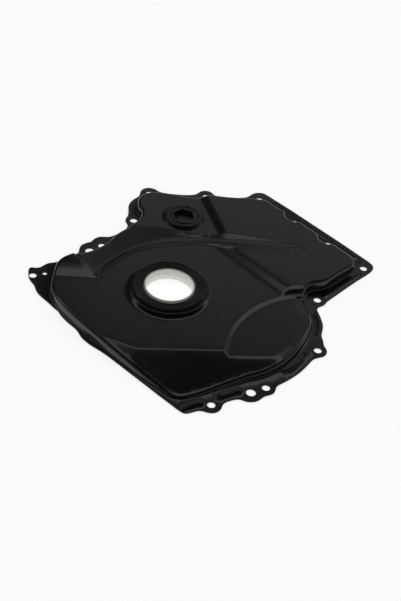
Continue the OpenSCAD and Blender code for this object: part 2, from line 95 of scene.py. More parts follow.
lugs = [
    (95.0, 119.5, 9.6), (145.8, 63.2, 9.3), (149.5, -13.6, 9.4), (145.0, -29.1, 11.6),
    (133.3, -68.8, 10.0), (-119.1, 57.3, 9.2), (-147.2, 105.5, 10.7), (-106.1, 154.3, 9.5),
    (-107.5, 4.5, 12.3), (-107.0, -12.0, 12.6)]

flange_holes = [
    (-63.8, 198.5, 3.8), (-9.6, 199.0, 3.8), (39.9, 199.0, 3.8), (90.9, 198.5, 3.8),
    (95.0, 119.5, 3.8), (145.8, 63.2, 3.8), (149.5, -13.6, 3.8), (133.3, -68.8, 3.8),
    (-119.1, 57.3, 3.8), (-105.8, 1.6, 3.8), (-109.9, -85.2, 3.8), (-147.2, 105.5, 3.8),
    (-104.6, 153.3, 3.8), (145.0, -29.1, 4.6), (-106.6, -14.2, 4.6), (-105.0, -74.0, 2.2)]


def rolled(points, by):
    return np.roll(points, by, axis=0)


def length(v):
    return np.linalg.norm(v, axis=-1, keepdims=True)


def inward_at(points):
    """Direction that moves a corner of a clockwise line inward, one unit for each of its edges."""
    a = points - rolled(points, 1)
    b = rolled(points, -1) - points
    a = np.stack([a[:, 1], -a[:, 0]], 1) / length(a)
    b = np.stack([b[:, 1], -b[:, 0]], 1) / length(b)
    return (a + b) / (1 + (a * b).sum(1, keepdims=True))


def smooth_loop(points, steps):
    """Closed curve through the points, with the same number of steps between each pair."""
    p = np.asarray(points, float)
    before, after = p - rolled(p, 1), rolled(p, -1) - p
    d0, d1 = length(before), length(after)
    slope = (before / d0 * d1 + after / d1 * d0) / (d0 + d1)
    t = (np.arange(steps) / steps)[None, :, None]
    reach = np.minimum(d0, d1)
    m0 = (slope * np.minimum(d1, 1.6 * reach))[:, None]
    m1 = (rolled(slope, -1) * np.minimum(d1, 1.6 * rolled(reach, -1)))[:, None]
    q = rolled(p, -1)[:, None]
    p = p[:, None]
    curve = ((2 * t**3 - 3 * t**2 + 1) * p + (t**3 - 2 * t**2 + t) * m0
             + (3 * t**2 - 2 * t**3) * q + (t**3 - t**2) * m1)
    return curve.reshape(-1, p.shape[-1])


def circle(x, y, r, count):
    a = np.arange(count) * 2 * math.pi / count
    return np.stack([x + r * np.cos(a), y + r * np.sin(a)], 1)


def triangulate(loops, loose):
    """Triangles of every closed loop, each with the names of the loops that it lies in."""
    names = list(loops)
    points = np.concatenate([loops[n] for n in names] + [loose])
    faces, start = [], 0
    for n in names:
        ids = list(range(start, start + len(loops[n])))
        x, y = loops[n][:, 0], loops[n][:, 1]
        if (x * np.roll(y, -1) - y * np.roll(x, -1)).sum() < 0:
            ids.reverse()
        faces.append(ids)
        start += len(loops[n])
    out = delaunay_2d_cdt([Vector(p) for p in points], [], faces, 1, 1e-5, True)
    new = {}
    for k, old in enumerate(out[3]):
        for o in old:
            new[o] = k
    rows, start = {}, 0
    for n in names:
        rows[n] = [new[start + i] for i in range(len(loops[n]))]
        start += len(loops[n])
    where = [{names[f] for f in found} for found in out[5]]
    return np.array([tuple(v) for v in out[0]]), out[2], where, rows


def outer_loop(faces):
    """Longest line of edges that only one of the faces uses."""
    used = {}
    for f in faces:
        for a, b in zip(f, list(f[1:]) + [f[0]]):
            used[(a, b)] = True
    step = {a: b for a, b in used if (b, a) not in used}
    best = []
    while step:
        first, at = next(iter(step.items()))
        run = [first]
        del step[first]
        while at in step:
            run.append(at)
            at = step.pop(at)
        best = max(best, run, key=len)
    return best


def even_loop(points, gap):
    ends = np.concatenate([points, points[:1]])
    reach = np.concatenate([[0], np.cumsum(length(np.diff(ends, axis=0))[:, 0])])
    at = np.linspace(0, reach[-1], int(reach[-1] / gap), endpoint=False)
    return np.stack([np.interp(at, reach, ends[:, 0]), np.interp(at, reach, ends[:, 1])], 1)


shape = {"flange": smooth_loop(flange_points, 3)}
for k, (x, y, r) in enumerate(lugs):
    shape[f"lug{k}"] = circle(x, y, r, 64)
plan, faces, where, rows = triangulate(shape, np.zeros((0, 2)))
blank = [f for f, w in zip(faces, where) if w]
outline = even_loop(plan[outer_loop(blank)], 1.6)
for turn in range(5):
    outline = outline * 0.5 + (rolled(outline, 1) + rolled(outline, -1)) * 0.25
outline = outline[::-1]


# The relief of the body.
# One press stroke forms the main floor, the plateaus, the plug's shelf, the oval pocket and the
# long slope below them. The sheet can't crease sharply, so every edge is a soft roll.
FLOOR, PLATEAU, SHELF = 9.5, 11.5, 9.4
GRID = 0.5
x_line = np.arange(-170, 170, GRID)
y_line = np.arange(-125, 225, GRID)
X, Y = np.meshgrid(x_line, y_line)

upper_plan = [
    (-200, -38), (-76, -38), (-74, 20), (-66, 48), (-50, 74), (-34, 93), (-32, 84), (200, 84),
    (200, 230), (-200, 230)]

valley_stations = [
    [(-64.0, -39.0, 9.45), (-59.0, -41.0, 9.52), (-125.0, -39.0, 12.6)],
    [(-72.0, -22.4, 9.2), (-63.0, -26.7, 9.63), (-125.0, -20.0, 12.4)],
    [(-76.2, 1.2, 9.05), (-66.6, 0.5, 9.69), (-125.0, 1.3, 12.2)],
    [(-74.3, 22.5, 9.0), (-65.3, 19.0, 9.71), (-128.0, 22.0, 12.5)],
    [(-70.3, 42.1, 8.95), (-59.2, 37.0, 9.74), (-100.2, 44.9, 10.9)],
    [(-64.7, 57.7, 8.9), (-51.6, 51.0, 9.76), (-85.0, 58.9, 10.45)],
    [(-56.4, 70.8, 8.85), (-42.3, 60.4, 9.78), (-70.0, 71.7, 10.05)],
    [(-45.8, 83.6, 8.85), (-33.2, 76.3, 9.78), (-54.0, 83.0, 9.67)],
    [(-38.9, 90.2, 8.9), (-27.6, 82.8, 9.9), (-43.0, 91.8, 9.4)],
    [(-32.5, 96.3, 9.1), (-21.4, 88.7, 10.6), (-40.5, 108.0, 10.3)],
    [(-25.3, 104.0, 9.8), (-14.6, 93.0, 11.37), (-35.8, 113.0, 11.5)],
    [(-11.3, 120.2, 10.35), (0.7, 109.1, 12.0), (-17.1, 125.4, 11.5)],
    [(2.9, 136.3, 10.9), (14.5, 126.0, 11.75), (-0.1, 139.0, 11.7)],
    [(32.0, 161.5, 11.3), (38.0, 157.5, 11.6), (31.0, 162.7, 11.6)],
    [(42.0, 171.5, 11.5), (44.5, 170.0, 11.6), (41.5, 172.3, 11.6)]]

crest = [
    (-101.0, -41.0), (-92.0, -39.2), (-63.2, -39.6), (-65.7, -25.4), (-68.9, -9.5), (-70.1, 5.0),
    (-69.1, 17.8), (-66.0, 28.9), (-59.8, 44.4), (-50.8, 59.8), (-43.9, 69.4), (-36.5, 80.3),
    (-25.5, 91.8), (-17.9, 96.5), (-10.2, 103.9), (2.4, 116.2), (14.3, 129.3), (25.9, 142.8),
    (36.8, 157.3), (44.6, 169.8)]


def inside(poly, x, y):
    hit = np.zeros(x.shape, bool)
    for (x0, y0), (x1, y1) in zip(poly, poly[1:] + poly[:1]):
        if y0 != y1:
            hit ^= ((y0 > y) != (y1 > y)) & (x < (x1 - x0) * (y - y0) / (y1 - y0) + x0)
    return hit


def lower_by_triangle(field, a, b, c):
    """Cuts the field down to the plane of a triangle, where it lies over the triangle."""
    corners = np.array([a, b, c])
    i0, i1 = np.searchsorted(y_line, [corners[:, 1].min(), corners[:, 1].max()])
    j0, j1 = np.searchsorted(x_line, [corners[:, 0].min(), corners[:, 0].max()])
    area = (b[0] - a[0]) * (c[1] - a[1]) - (c[0] - a[0]) * (b[1] - a[1])
    if abs(area) < 1e-6:
        return
    x, y = X[i0:i1, j0:j1], Y[i0:i1, j0:j1]
    v = ((x - a[0]) * (c[1] - a[1]) - (c[0] - a[0]) * (y - a[1])) / area
    w = ((b[0] - a[0]) * (y - a[1]) - (x - a[0]) * (b[1] - a[1])) / area
    z = a[2] + v * (b[2] - a[2]) + w * (c[2] - a[2])
    part = field[i0:i1, j0:j1]
    over = (v >= -1e-3) & (w >= -1e-3) & (v + w <= 1 + 1e-3)
    part[over] = np.minimum(part[over], z[over])


def open_curve(points, steps):
    p = np.asarray(points, float)
    d = length(np.diff(p, axis=0))
    slope = np.zeros_like(p)
    slope[1:-1] = (np.diff(p, axis=0)[:-1] / d[:-1] * d[1:]
                   + np.diff(p, axis=0)[1:] / d[1:] * d[:-1]) / (d[:-1] + d[1:])
    slope[0], slope[-1] = (p[1] - p[0]) / d[0], (p[-1] - p[-2]) / d[-1]
    t = (np.arange(steps) / steps)[None, :, None]
    a, b, m0, m1 = p[:-1, None], p[1:, None], (slope[:-1] * d)[:, None], (slope[1:] * d)[:, None]
    run = ((2 * t**3 - 3 * t**2 + 1) * a + (t**3 - 2 * t**2 + t) * m0
           + (3 * t**2 - 2 * t**3) * b + (t**3 - t**2) * m1).reshape(-1, p.shape[1])
    return np.concatenate([run, p[-1:]])


def soften(field, width):
    reach = int(4 * width / GRID)
    k = np.exp(-0.5 * (np.arange(-reach, reach + 1) * GRID / width) ** 2)
    k /= k.sum()
    for axis in (0, 1):
        pad = [(reach, reach) if a == axis else (0, 0) for a in (0, 1)]
        wide = np.pad(field, pad, mode="edge")
        n = field.shape[axis]
        field = sum(w * np.take(wide, range(i, i + n), axis=axis) for i, w in enumerate(k))
    return field


def slope_from(x0, y0, way_x, way_y, tilt):
    """Plane that falls from the main floor beyond a line."""
    return FLOOR - math.tan(math.radians(tilt)) * ((X - x0) * way_x + (Y - y0) * way_y)


def ease(x):
    x = np.clip(x, 0, 1)
    return x * x * (3 - 2 * x)


def lower_of(a, b, roll):
    """The lower of two heights, with a rounded crease."""
    return np.minimum(a, b) - np.clip(roll - np.abs(a - b), 0, None) ** 2 / (4 * roll)


def from_line(run):
    """Distance of every grid point from a run of points."""
    near = np.full(X.shape, 1e9)
    for (x0, y0), (x1, y1) in zip(run, run[1:]):
        dx, dy = x1 - x0, y1 - y0
        t = np.clip(((X - x0) * dx + (Y - y0) * dy) / (dx * dx + dy * dy), 0, 1)
        near = np.minimum(near, np.hypot(X - x0 - t * dx, Y - y0 - t * dy))
    return near


UNCUT = 99.0
STEP_FOOT, STEP_RUN = 83.0, 21.0
step_down = np.where(X > -60, FLOOR + 2.0 * ease((Y - STEP_FOOT) / STEP_RUN), UNCUT)
band_x = (X + 62.6) * 0.898 - (Y - 123.0) * 0.440
band_y = (X + 62.6) * 0.440 + (Y - 123.0) * 0.898
shelf = SHELF + 0.022 * np.clip(-20 - band_y, 0, None) + 2.1 * ease((band_y + 7.5) / 15.0)
upper = np.minimum(np.minimum(PLATEAU, step_down), np.where(band_x < 30, shelf, UNCUT))
relief = np.where(inside(upper_plan, X, Y), np.maximum(FLOOR, upper), FLOOR)
foot, near_bank, far_bank = (open_curve([row[k] for row in valley_stations], 6) for k in range(3))
for bank in (near_bank, far_bank):
    for i in range(len(foot) - 1):
        lower_by_triangle(relief, foot[i], foot[i + 1], bank[i + 1])
        lower_by_triangle(relief, foot[i], bank[i + 1], bank[i])
lobe = [(-150, -39), (-62, -39), (-59, -45), (-150, -144)]
lobe_in = -12.7 - 0.74 * X + 0.68 * Y
mound = FLOOR + 0.149 * lobe_in - 0.0018 * lobe_in**2
relief = np.where(inside(lobe, X, Y) & (lobe_in > 0), np.maximum(mound, FLOOR), relief)
CREST_H, CREST_W = 0.42, 2.0
relief += CREST_H * np.exp(-(from_line(crest) / CREST_W) ** 2)
POCKET_X, POCKET_Y, POCKET_R = 169.6, 49.7, 94.9
pocket = 8.5 + 0.0045 * (0.8 * (Y - 45) - 0.6 * (X - 105))
from_pocket = np.hypot(X - POCKET_X, Y - POCKET_Y) - POCKET_R
facing = (0.666 * (POCKET_X - X) + 0.745 * (Y - POCKET_Y)) / (from_pocket + POCKET_R)
bowl = pocket + (0.108 + 0.14 * (1 - facing)) * np.clip(from_pocket, 0, None)
bowl += 0.15 * np.clip(from_pocket - 6.5, 0, 4.5)
relief = lower_of(relief, bowl, 0.1)
wall_near = from_line(wall_points[22:52])
rim_fall = pocket + 0.1 - 0.084 * (14.5 - wall_near)
relief = np.where(from_pocket < 0, lower_of(relief, rim_fall, 0.2), relief)
far_slope = slope_from(98.3, -14.0, 0.768, -0.640, 8.9)
relief = lower_of(relief, far_slope, 0.3 + 0.3 * ease(-from_pocket / 8))
relief = lower_of(relief, slope_from(43.3, -80.0, 0.410, -0.912, 9.0), 0.2)
relief = soften(relief, 0.8)


def sample(field, points):
    u = np.clip((points[:, 0] - x_line[0]) / GRID, 0, len(x_line) - 1.001)
    v = np.clip((points[:, 1] - y_line[0]) / GRID, 0, len(y_line) - 1.001)
    j, i = u.astype(int), v.astype(int)
    u, v = u - j, v - i
    return ((field[i, j] * (1 - u) + field[i, j + 1] * u) * (1 - v)
            + (field[i + 1, j] * (1 - u) + field[i + 1, j + 1] * u) * v)


# The cover's mesh.
# Flange, wall and relief are one closed sheet. Each point on the outside has a partner one sheet
# below it, and every cut edge joins the two. The collar and the plug's seat are drawn from it.
BEADS = [
    [(94.4, 187.3), (95.6, 160.0), (96.9, 132.3)],
    [(108.4, 101.3), (117.4, 96.3), (125.4, 87.3), (132.4, 77.3)],
    [(143.4, 50.3), (146.4, 40.3), (147.9, 28.3), (148.4, 14.3)],
    [(136.4, -37.7), (134.4, -47.7), (131.4, -55.7)],
    [(125.4, -75.7), (122.4, -89.7)],
    [(-48.0, 206.0), (74.0, 206.0)]]
BEAD_H, BEAD_W = 0.8, 3.0
COLLAR_FOOT, RIM_Z, SEAL_R = 45.0, 19.0, 35.5
plug_low, plug_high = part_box("inspection_plug")
plug_centre = ((plug_low + plug_high) / 2).to_2d()
PLUG_AT = tuple((plug_centre - crank) * 1000)
SEAT_Z, PLUG_HOLE = plug_high.z * 1000 - 1.98, 17.0
SEAT_FOOT = 23.4
LIP = 0.35


def wall_section(rise):
    """Inset, height and tilt along the wall, from its root bend to its shoulder."""
    full = (ROOT_R + SHOULDER_R) * (1 - math.cos(STEEP))
    tilt = np.where(rise > full, STEEP, np.arccos(np.clip(1 - rise / (ROOT_R + SHOULDER_R), -1, 1)))
    straight = np.clip(rise - full, 0, None)
    rows = [(ROOT_R * np.sin(tilt * k), ROOT_R * (1 - np.cos(tilt * k)), tilt * k)
            for k in (0, 0.3, 0.6, 0.95)]
    side = ROOT_R * np.sin(tilt) + straight / math.tan(STEEP)
    for k in (0.95, 0.8, 0.62, 0.45, 0.3, 0.16, 0.05):
        rows.append((side + SHOULDER_R * (np.sin(tilt) - np.sin(tilt * k)),
                     rise - SHOULDER_R * (1 - np.cos(tilt * k)), tilt * k))
    rows.append((np.full_like(rise, SHOULDER_END), rise, tilt * 0))
    return rows


def bead_height(points):
    lift = np.zeros(len(points))
    for run in BEADS:
        for a, b in zip(run, run[1:]):
            a, b = np.array(a), np.array(b)
            t = np.clip(((points - a) @ (b - a)) / ((b - a) @ (b - a)), 0, 1)
            d = np.linalg.norm(points - a - t[:, None] * (b - a), axis=1)
            lift = np.maximum(lift, BEAD_H * np.cos(np.clip(d / BEAD_W, 0, 0.5) * math.pi) ** 2)
    return lift


wall_coarse = np.array(wall_points, float)
wall_way = inward_at(wall_coarse)
STEPS = 5
coarse_rise = sample(relief, wall_coarse + wall_way * SHOULDER_END)
root_line = smooth_loop(wall_coarse, STEPS)
shoulder_line = smooth_loop(wall_coarse + wall_way * SHOULDER_END, STEPS)
fine_rise = sample(relief, shoulder_line)

cut_line = outline + inward_at(outline) * LIP
loops = {"flange": cut_line, "root": root_line, "shoulder": shoulder_line}
for k, (x, y, r) in enumerate(flange_holes):
    loops[f"hole{k}"] = circle(x, y, r + LIP, 40)
loops["collar"] = circle(0, 0, COLLAR_FOOT, 144)
loops["seat"] = circle(*PLUG_AT, SEAT_FOOT, 96)

# points stand closer where the relief bends more
bend = np.abs(relief - (np.roll(relief, 4, 0) + np.roll(relief, -4, 0) + np.roll(relief, 4, 1)
                        + np.roll(relief, -4, 1)) / 4)
loose = []
for gap, least in ((1.1, 0.02), (2.2, 0.004), (4.4, -1.0)):
    gx, gy = np.meshgrid(np.arange(-165, 165, gap), np.arange(-110, 215, gap * 0.866))
    gx[1::2] += gap / 2
    spots = np.stack([gx.ravel(), gy.ravel()], 1)
    spots = spots[sample(bend, spots) > least]
    ring = inside([tuple(p) for p in (wall_coarse + wall_way * (SHOULDER_END + 0.8))],
                  spots[:, 0], spots[:, 1])
    spots = spots[ring]
    keep = np.hypot(spots[:, 0], spots[:, 1]) > COLLAR_FOOT + 0.8
    keep &= np.hypot(spots[:, 0] - PLUG_AT[0], spots[:, 1] - PLUG_AT[1]) > 24.2
    spots = spots[keep]
    if loose:
        taken = np.concatenate(loose)
        cells = {(int(p[0] / gap), int(p[1] / gap)) for p in taken}
        spots = np.array([p for p in spots if (int(p[0] / gap), int(p[1] / gap)) not in cells])
    loose.append(spots)
for run in BEADS:
    for a, b in zip(run, run[1:]):
        a, b = np.array(a), np.array(b)
        way = (b - a) / np.linalg.norm(b - a)
        side = np.array([-way[1], way[0]])
        for along in np.arange(0.6, np.linalg.norm(b - a), 1.5):
            for off in (-0.5, -0.3, -0.12, 0.12, 0.3, 0.5):
                loose.append((a + way * along + side * off * BEAD_W)[None])
loose = np.concatenate(loose)

plan, faces, where, rows = triangulate(loops, loose)
holes = {n for n in loops if n.startswith("hole")}
flat_faces = [f for f, w in zip(faces, where) if "flange" in w and "root" not in w and not w & holes]
top_faces = [f for f, w in zip(faces, where)
             if "shoulder" in w and "collar" not in w and "seat" not in w]
flange_ids = sorted({v for f in flat_faces for v in f})
relief_ids = sorted({v for f in top_faces for v in f})
outside = np.zeros((len(plan), 3))
outside[:, :2] = plan
outside[relief_ids, 2] = SHEET + sample(relief, plan[relief_ids])
outside[flange_ids, 2] = SHEET + bead_height(plan[flange_ids])
under = outside - [0, 0, SHEET]
outside, under = list(map(tuple, outside)), list(map(tuple, under))
quads = []


def new_row(top, below):
    start = len(outside)
    outside.extend(map(tuple, top))
    under.extend(map(tuple, below))
    return list(range(start, start + len(top)))


def bridge(a, b):
    """Quads between two closed rows, where b lies to the left of a's direction."""
    n = len(a)
    for i in range(n):
        j = (i + 1) % n
        quads.append((a[i], a[j], b[j], b[i]))


def with_height(line, z):
    z = np.broadcast_to(z, len(line))
    return np.column_stack([line, z])


section_coarse, section_fine = wall_section(coarse_rise), wall_section(fine_rise)
last = rows["root"]
for (inset, _, tilt), (_, up, fine_tilt) in zip(section_coarse[1:-1], section_fine[1:-1]):
    line = smooth_loop(wall_coarse + wall_way * inset[:, None], STEPS)
    back = smooth_loop(wall_coarse + wall_way * (inset + SHEET * np.sin(tilt))[:, None], STEPS)
    row = new_row(with_height(line, SHEET + up),
                  with_height(back, SHEET + up - SHEET * np.cos(fine_tilt)))
    bridge(row, last)
    last = row
bridge(rows["shoulder"], last)

edges = []
rim = new_row(with_height(outline, SHEET - LIP), with_height(outline, 0))
bridge(rows["flange"], rim)
edges.append(rim)
for k, (x, y, r) in enumerate(flange_holes):
    line = circle(x, y, r, 40)
    rim = new_row(with_height(line, SHEET - LIP), with_height(line, 0))
    bridge(rim, rows[f"hole{k}"])
    edges.append(rim[::-1])

last = rows["collar"]
floor_z = SHEET + FLOOR
wall_r = SEAL_R + SHEET
profile = []
for a in np.radians([12, 24, 36, 48, 60, 72, 84]):
    fillet = (COLLAR_FOOT - wall_r, 3.6)
    r, z = COLLAR_FOOT - fillet[0] * math.sin(a), floor_z + fillet[1] * (1 - math.cos(a))
    tilt = math.atan2(fillet[1] * math.sin(a), fillet[0] * math.cos(a))
    profile.append((r, z, r - SHEET * math.sin(tilt), z - SHEET * math.cos(tilt)))
profile.append((wall_r, floor_z + 4.4, SEAL_R, floor_z + 4.2))
for a in np.radians([0, 20, 40, 60, 80]):
    profile.append((wall_r - 1.2 * (1 - math.cos(a)), RIM_Z - 1.2 + 1.2 * math.sin(a),
                    SEAL_R, RIM_Z - 1.6 + 1.2 * a / 1.6))
for r, z, r_under, z_under in profile:
    row = new_row(with_height(circle(0, 0, r, 144), z),
                  with_height(circle(0, 0, r_under, 144), z_under))
    bridge(row, last)
    last = row
edges.append(last[::-1])

last = rows["seat"]
start_z = np.array([outside[i][2] for i in last])
for r, up in ((22.6, 0.06), (22.0, 0.3), (21.5, 0.68), (21.0, 0.92), (20.4, 1.0), (PLUG_HOLE, 1.0)):
    z = start_z + (SEAT_Z - start_z) * up
    line = circle(*PLUG_AT, r, 96)
    row = new_row(with_height(line, z), with_height(line, z - SHEET))
    bridge(row, last)
    last = row
edges.append(last[::-1])

half = len(outside)
points = (np.array(outside + under) * 0.001 + [crank.x, crank.y, 0]).tolist()
shell = [tuple(f) for f in flat_faces + top_faces + quads]
solid = shell + [tuple(half + v for v in reversed(f)) for f in shell]
for rim in edges:
    for a, b in zip(rim, rim[1:] + rim[:1]):
        solid.append((b, a, a + half, b + half))


def finished(name, points, faces, sharp):
    """Mesh object at the origin, smooth but for edges sharper than the angle."""
    mesh = bpy.data.meshes.new(name)
    mesh.from_pydata(points, [], faces)
    mesh.validate()
    mesh.polygons.foreach_set("use_smooth", [True] * len(mesh.polygons))
    mesh.set_sharp_from_angle(angle=math.radians(sharp))
    piece = bpy.data.objects.new(name, mesh)
    bpy.context.scene.collection.objects.link(piece)
    return piece


used = sorted({v for f in solid for v in f})
fresh = {v: k for k, v in enumerate(used)}
pressing = finished("pressing", [points[v] for v in used],
                    [tuple(fresh[v] for v in f) for f in solid], 40)


def linear(code):
    """Linear colour of an sRGB hex code."""
    parts = [int(code[i:i + 2], 16) / 255 for i in (0, 2, 4)]
    return tuple(c / 12.92 if c <= 0.04045 else ((c + 0.055) / 1.055) ** 2.4 for c in parts) + (1,)


def add(tree, kind, inputs=(), **settings):
    """Node with its settings, and its inputs set or linked by name or number."""
    node = tree.nodes.new(kind)
    for key, value in settings.items():
        setattr(node, key, value)
    for key, value in dict(inputs).items():
        if isinstance(value, bpy.types.NodeSocket):
            tree.links.new(value, node.inputs[key])
        else:
            node.inputs[key].default_value = value
    return node


def new_material(name):
    material = bpy.data.materials.new(name)
    material.use_nodes = True
    material.node_tree.nodes.clear()
    return material, material.node_tree


# satin black paint over pressed steel: dark, with clear soft reflections. Orange peel of about
# 1.4 mm and dust of 0.4 mm roughen it, and its gloss drifts over 22 mm where the sheet was drawn.
paint, tree = new_material("satin_black_paint")
place = add(tree, "ShaderNodeTexCoord").outputs["Object"]
peel = add(tree, "ShaderNodeTexNoise", {"Vector": place, "Scale": 700.0, "Detail": 2.0})
draw = add(tree, "ShaderNodeTexNoise", {"Vector": place, "Scale": 45.0, "Detail": 3.0})
dust = add(tree, "ShaderNodeTexNoise", {"Vector": place, "Scale": 2600.0, "Detail": 1.0})
tone = add(tree, "ShaderNodeMapRange", {"Value": draw.outputs["Fac"], "From Min": 0.3,
                                        "From Max": 0.7, "To Min": 0.0, "To Max": 1.0})
colour = add(tree, "ShaderNodeMix", {"Factor": tone.outputs[0], "A": linear("121211"),
                                     "B": linear("161615")}, data_type="RGBA")
gloss = add(tree, "ShaderNodeMapRange", {"Value": draw.outputs["Fac"], "From Min": 0.3,
                                         "From Max": 0.7, "To Min": 0.15, "To Max": 0.18})
grain = add(tree, "ShaderNodeMath", {0: peel.outputs["Fac"], 1: dust.outputs["Fac"]},
            operation="ADD")
rough = add(tree, "ShaderNodeBump", {"Height": grain.outputs[0], "Strength": 0.02,
                                     "Distance": 0.0002})
skin = add(tree, "ShaderNodeBsdfPrincipled", {
    "Base Color": colour.outputs["Result"], "Roughness": gloss.outputs[0],
    "Normal": rough.outputs[0], "IOR": 1.5})
add(tree, "ShaderNodeOutputMaterial", {"Surface": skin.outputs[0]})
pressing.data.materials.append(paint)
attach(pressing, "root")
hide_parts("cover")


# The crank seal.
# A ring of black rubber sits in the collar. Its face steps down to the centre in soft concentric
# lips, and the innermost lip lies on the fitting sleeve.
def lathe(profile, count, x, y):
    """Closed ring turned about the upright axis through x and y, from pairs of radius and height."""
    points, faces = [], []
    for r, z in profile:
        for k in range(count):
            a = 2 * math.pi * k / count
            points.append((x + r * math.cos(a), y + r * math.sin(a), z))
    n = len(profile)
    for i in range(n):
        for k in range(count):
            j, m = (i + 1) % n, (k + 1) % count
            faces.append((i * count + k, i * count + m, j * count + m, j * count + k))
    return points, faces


def turned(name, profile, count, centre, sharp):
    """Turned piece from a profile in millimetres that runs so that its faces point outward."""
    mm = [(r * 0.001, z * 0.001) for r, z in profile]
    points, faces = lathe(mm, count, centre.x, centre.y)
    return finished(name, points, faces, sharp)


def eased(profile, cut):
    """Profile whose corners are cut back by a small curve."""
    p = np.array(profile, float)
    out = []
    for i in range(len(p)):
        a, b, c = p[i - 1], p[i], p[(i + 1) % len(p)]
        da, dc = np.linalg.norm(a - b), np.linalg.norm(c - b)
        u = b + (a - b) / da * min(cut, da * 0.45)
        v = b + (c - b) / dc * min(cut, dc * 0.45)
        for t in (0, 0.35, 0.65, 1):
            out.append(tuple((1 - t) ** 2 * u + 2 * t * (1 - t) * b + t * t * v))
    return out


face_z = RIM_Z - 0.8
seal_profile = [
    (35.45, 8.3), (35.45, face_z - 0.4), (35.0, face_z), (33.4, face_z), (32.9, face_z - 1.1),
    (31.6, face_z - 1.1), (31.2, face_z - 0.4), (30.2, face_z - 0.4), (29.7, face_z - 1.3),
    (28.6, face_z - 1.3), (28.0, face_z - 0.7), (26.9, face_z - 0.7), (25.65, face_z - 1.6),
    (25.65, 11.3), (29.0, 8.3)]
shaft_seal = turned("seal_ring", eased(seal_profile[::-1], 0.35), 160, crank, 60)

# black nitrile rubber, a little shiny where it is moulded smooth, with a grain of about 1.1 mm
rubber, tree = new_material("black_seal_rubber")
place = add(tree, "ShaderNodeTexCoord").outputs["Object"]
skin_noise = add(tree, "ShaderNodeTexNoise", {"Vector": place, "Scale": 900.0, "Detail": 3.0})
sheen = add(tree, "ShaderNodeMapRange", {"Value": skin_noise.outputs["Fac"], "From Min": 0.3,
                                         "From Max": 0.7, "To Min": 0.34, "To Max": 0.48})
bump = add(tree, "ShaderNodeBump", {"Height": skin_noise.outputs["Fac"], "Strength": 0.15,
                                    "Distance": 0.0002})
skin = add(tree, "ShaderNodeBsdfPrincipled", {
    "Base Color": linear("1d1d1c"), "Roughness": sheen.outputs[0], "Normal": bump.outputs[0],
    "IOR": 1.5})
add(tree, "ShaderNodeOutputMaterial", {"Surface": skin.outputs[0]})
shaft_seal.data.materials.append(rubber)
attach(shaft_seal, "root")
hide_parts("shaft_seal")


# The fitting sleeve.
# A thin white plastic tube keeps the seal's lip open until the cover is fitted. Its edges are
# rounded by the mould, and a fine seam runs around the inside near the top.
sleeve_profile = [
    (24.0, 6.0), (24.0, 15.6), (24.08, 15.9), (24.0, 16.2), (24.0, 18.5), (24.4, 19.0),
    (25.2, 19.0), (25.6, 18.5), (25.6, 6.0)]
sleeve = turned("sleeve", eased(sleeve_profile[::-1], 0.18), 160, crank, 60)

# white polyethylene, milky where light comes through it, with flow marks about 8 mm wide
milky, tree = new_material("milky_white_plastic")
place = add(tree, "ShaderNodeTexCoord").outputs["Object"]
flow = add(tree, "ShaderNodeTexNoise", {"Vector": place, "Scale": 120.0, "Detail": 2.0})
sheen = add(tree, "ShaderNodeMapRange", {"Value": flow.outputs["Fac"], "From Min": 0.3,
                                         "From Max": 0.7, "To Min": 0.30, "To Max": 0.42})
skin = add(tree, "ShaderNodeBsdfPrincipled", {
    "Base Color": linear("f1f0ea"), "Roughness": sheen.outputs[0], "IOR": 1.5,
    "Subsurface Weight": 0.6, "Subsurface Scale": 0.004})
skin.inputs["Subsurface Radius"].default_value = (1.0, 0.9, 0.8)
add(tree, "ShaderNodeOutputMaterial", {"Surface": skin.outputs[0]})
sleeve.data.materials.append(milky)
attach(sleeve, "root")
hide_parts("fitting_sleeve")


# The inspection plug.
# A black moulded plug closes the hole in the shelf. Its head has a rounded edge, a shallow ring
# groove, and a hexagon recess for the key that turns it.
TOP = plug_high.z * 1000
HEAD_R, HEX_R, HEX_DEEP = 20.0, 11.5, 5.0


def hexagon(a, r):
    turn = (a + math.pi / 6) % (math.pi / 3) - math.pi / 6
    return r * math.cos(math.pi / 6) / math.cos(turn)


plug_rings = [
    (0.0, plug_low.z * 1000), (15.9, plug_low.z * 1000), (16.95, plug_low.z * 1000 + 0.9),
    (16.95, SEAT_Z), (HEAD_R, SEAT_Z), (HEAD_R, TOP - 0.9), (HEAD_R - 0.25, TOP - 0.5),
    (HEAD_R - 0.8, TOP - 0.22), (17.0, TOP - 0.2), (16.6, TOP - 0.3), (16.2, TOP - 0.8),
    (15.2, TOP - 0.85), (14.6, TOP - 0.4), (14.0, TOP - 0.05), (13.0, TOP)]
hex_rings = [(HEX_R + 0.5, TOP), (HEX_R + 0.1, TOP - 0.3), (HEX_R, TOP - 0.8),
             (HEX_R - 0.2, TOP - HEX_DEEP), (0.0, TOP - HEX_DEEP)]
points, rings, count = [], [], 96
for group, six in ((plug_rings, False), (hex_rings, True)):
    for r, z in group:
        if r == 0:
            rings.append([len(points)] * count)
            points.append((plug_centre.x, plug_centre.y, z * 0.001))
            continue
        rings.append(list(range(len(points), len(points) + count)))
        for k in range(count):
            a = 2 * math.pi * k / count
            reach = (hexagon(a, r) if six else r) * 0.001
            points.append((plug_centre.x + reach * math.cos(a), plug_centre.y + reach * math.sin(a),
                           z * 0.001))
faces = []
for a, b in zip(rings, rings[1:]):
    for k in range(count):
        m = (k + 1) % count
        face = [a[k], a[m], b[m], b[k]]
        faces.append(tuple(dict.fromkeys(face)))
plug = finished("plug", points, faces, 38)

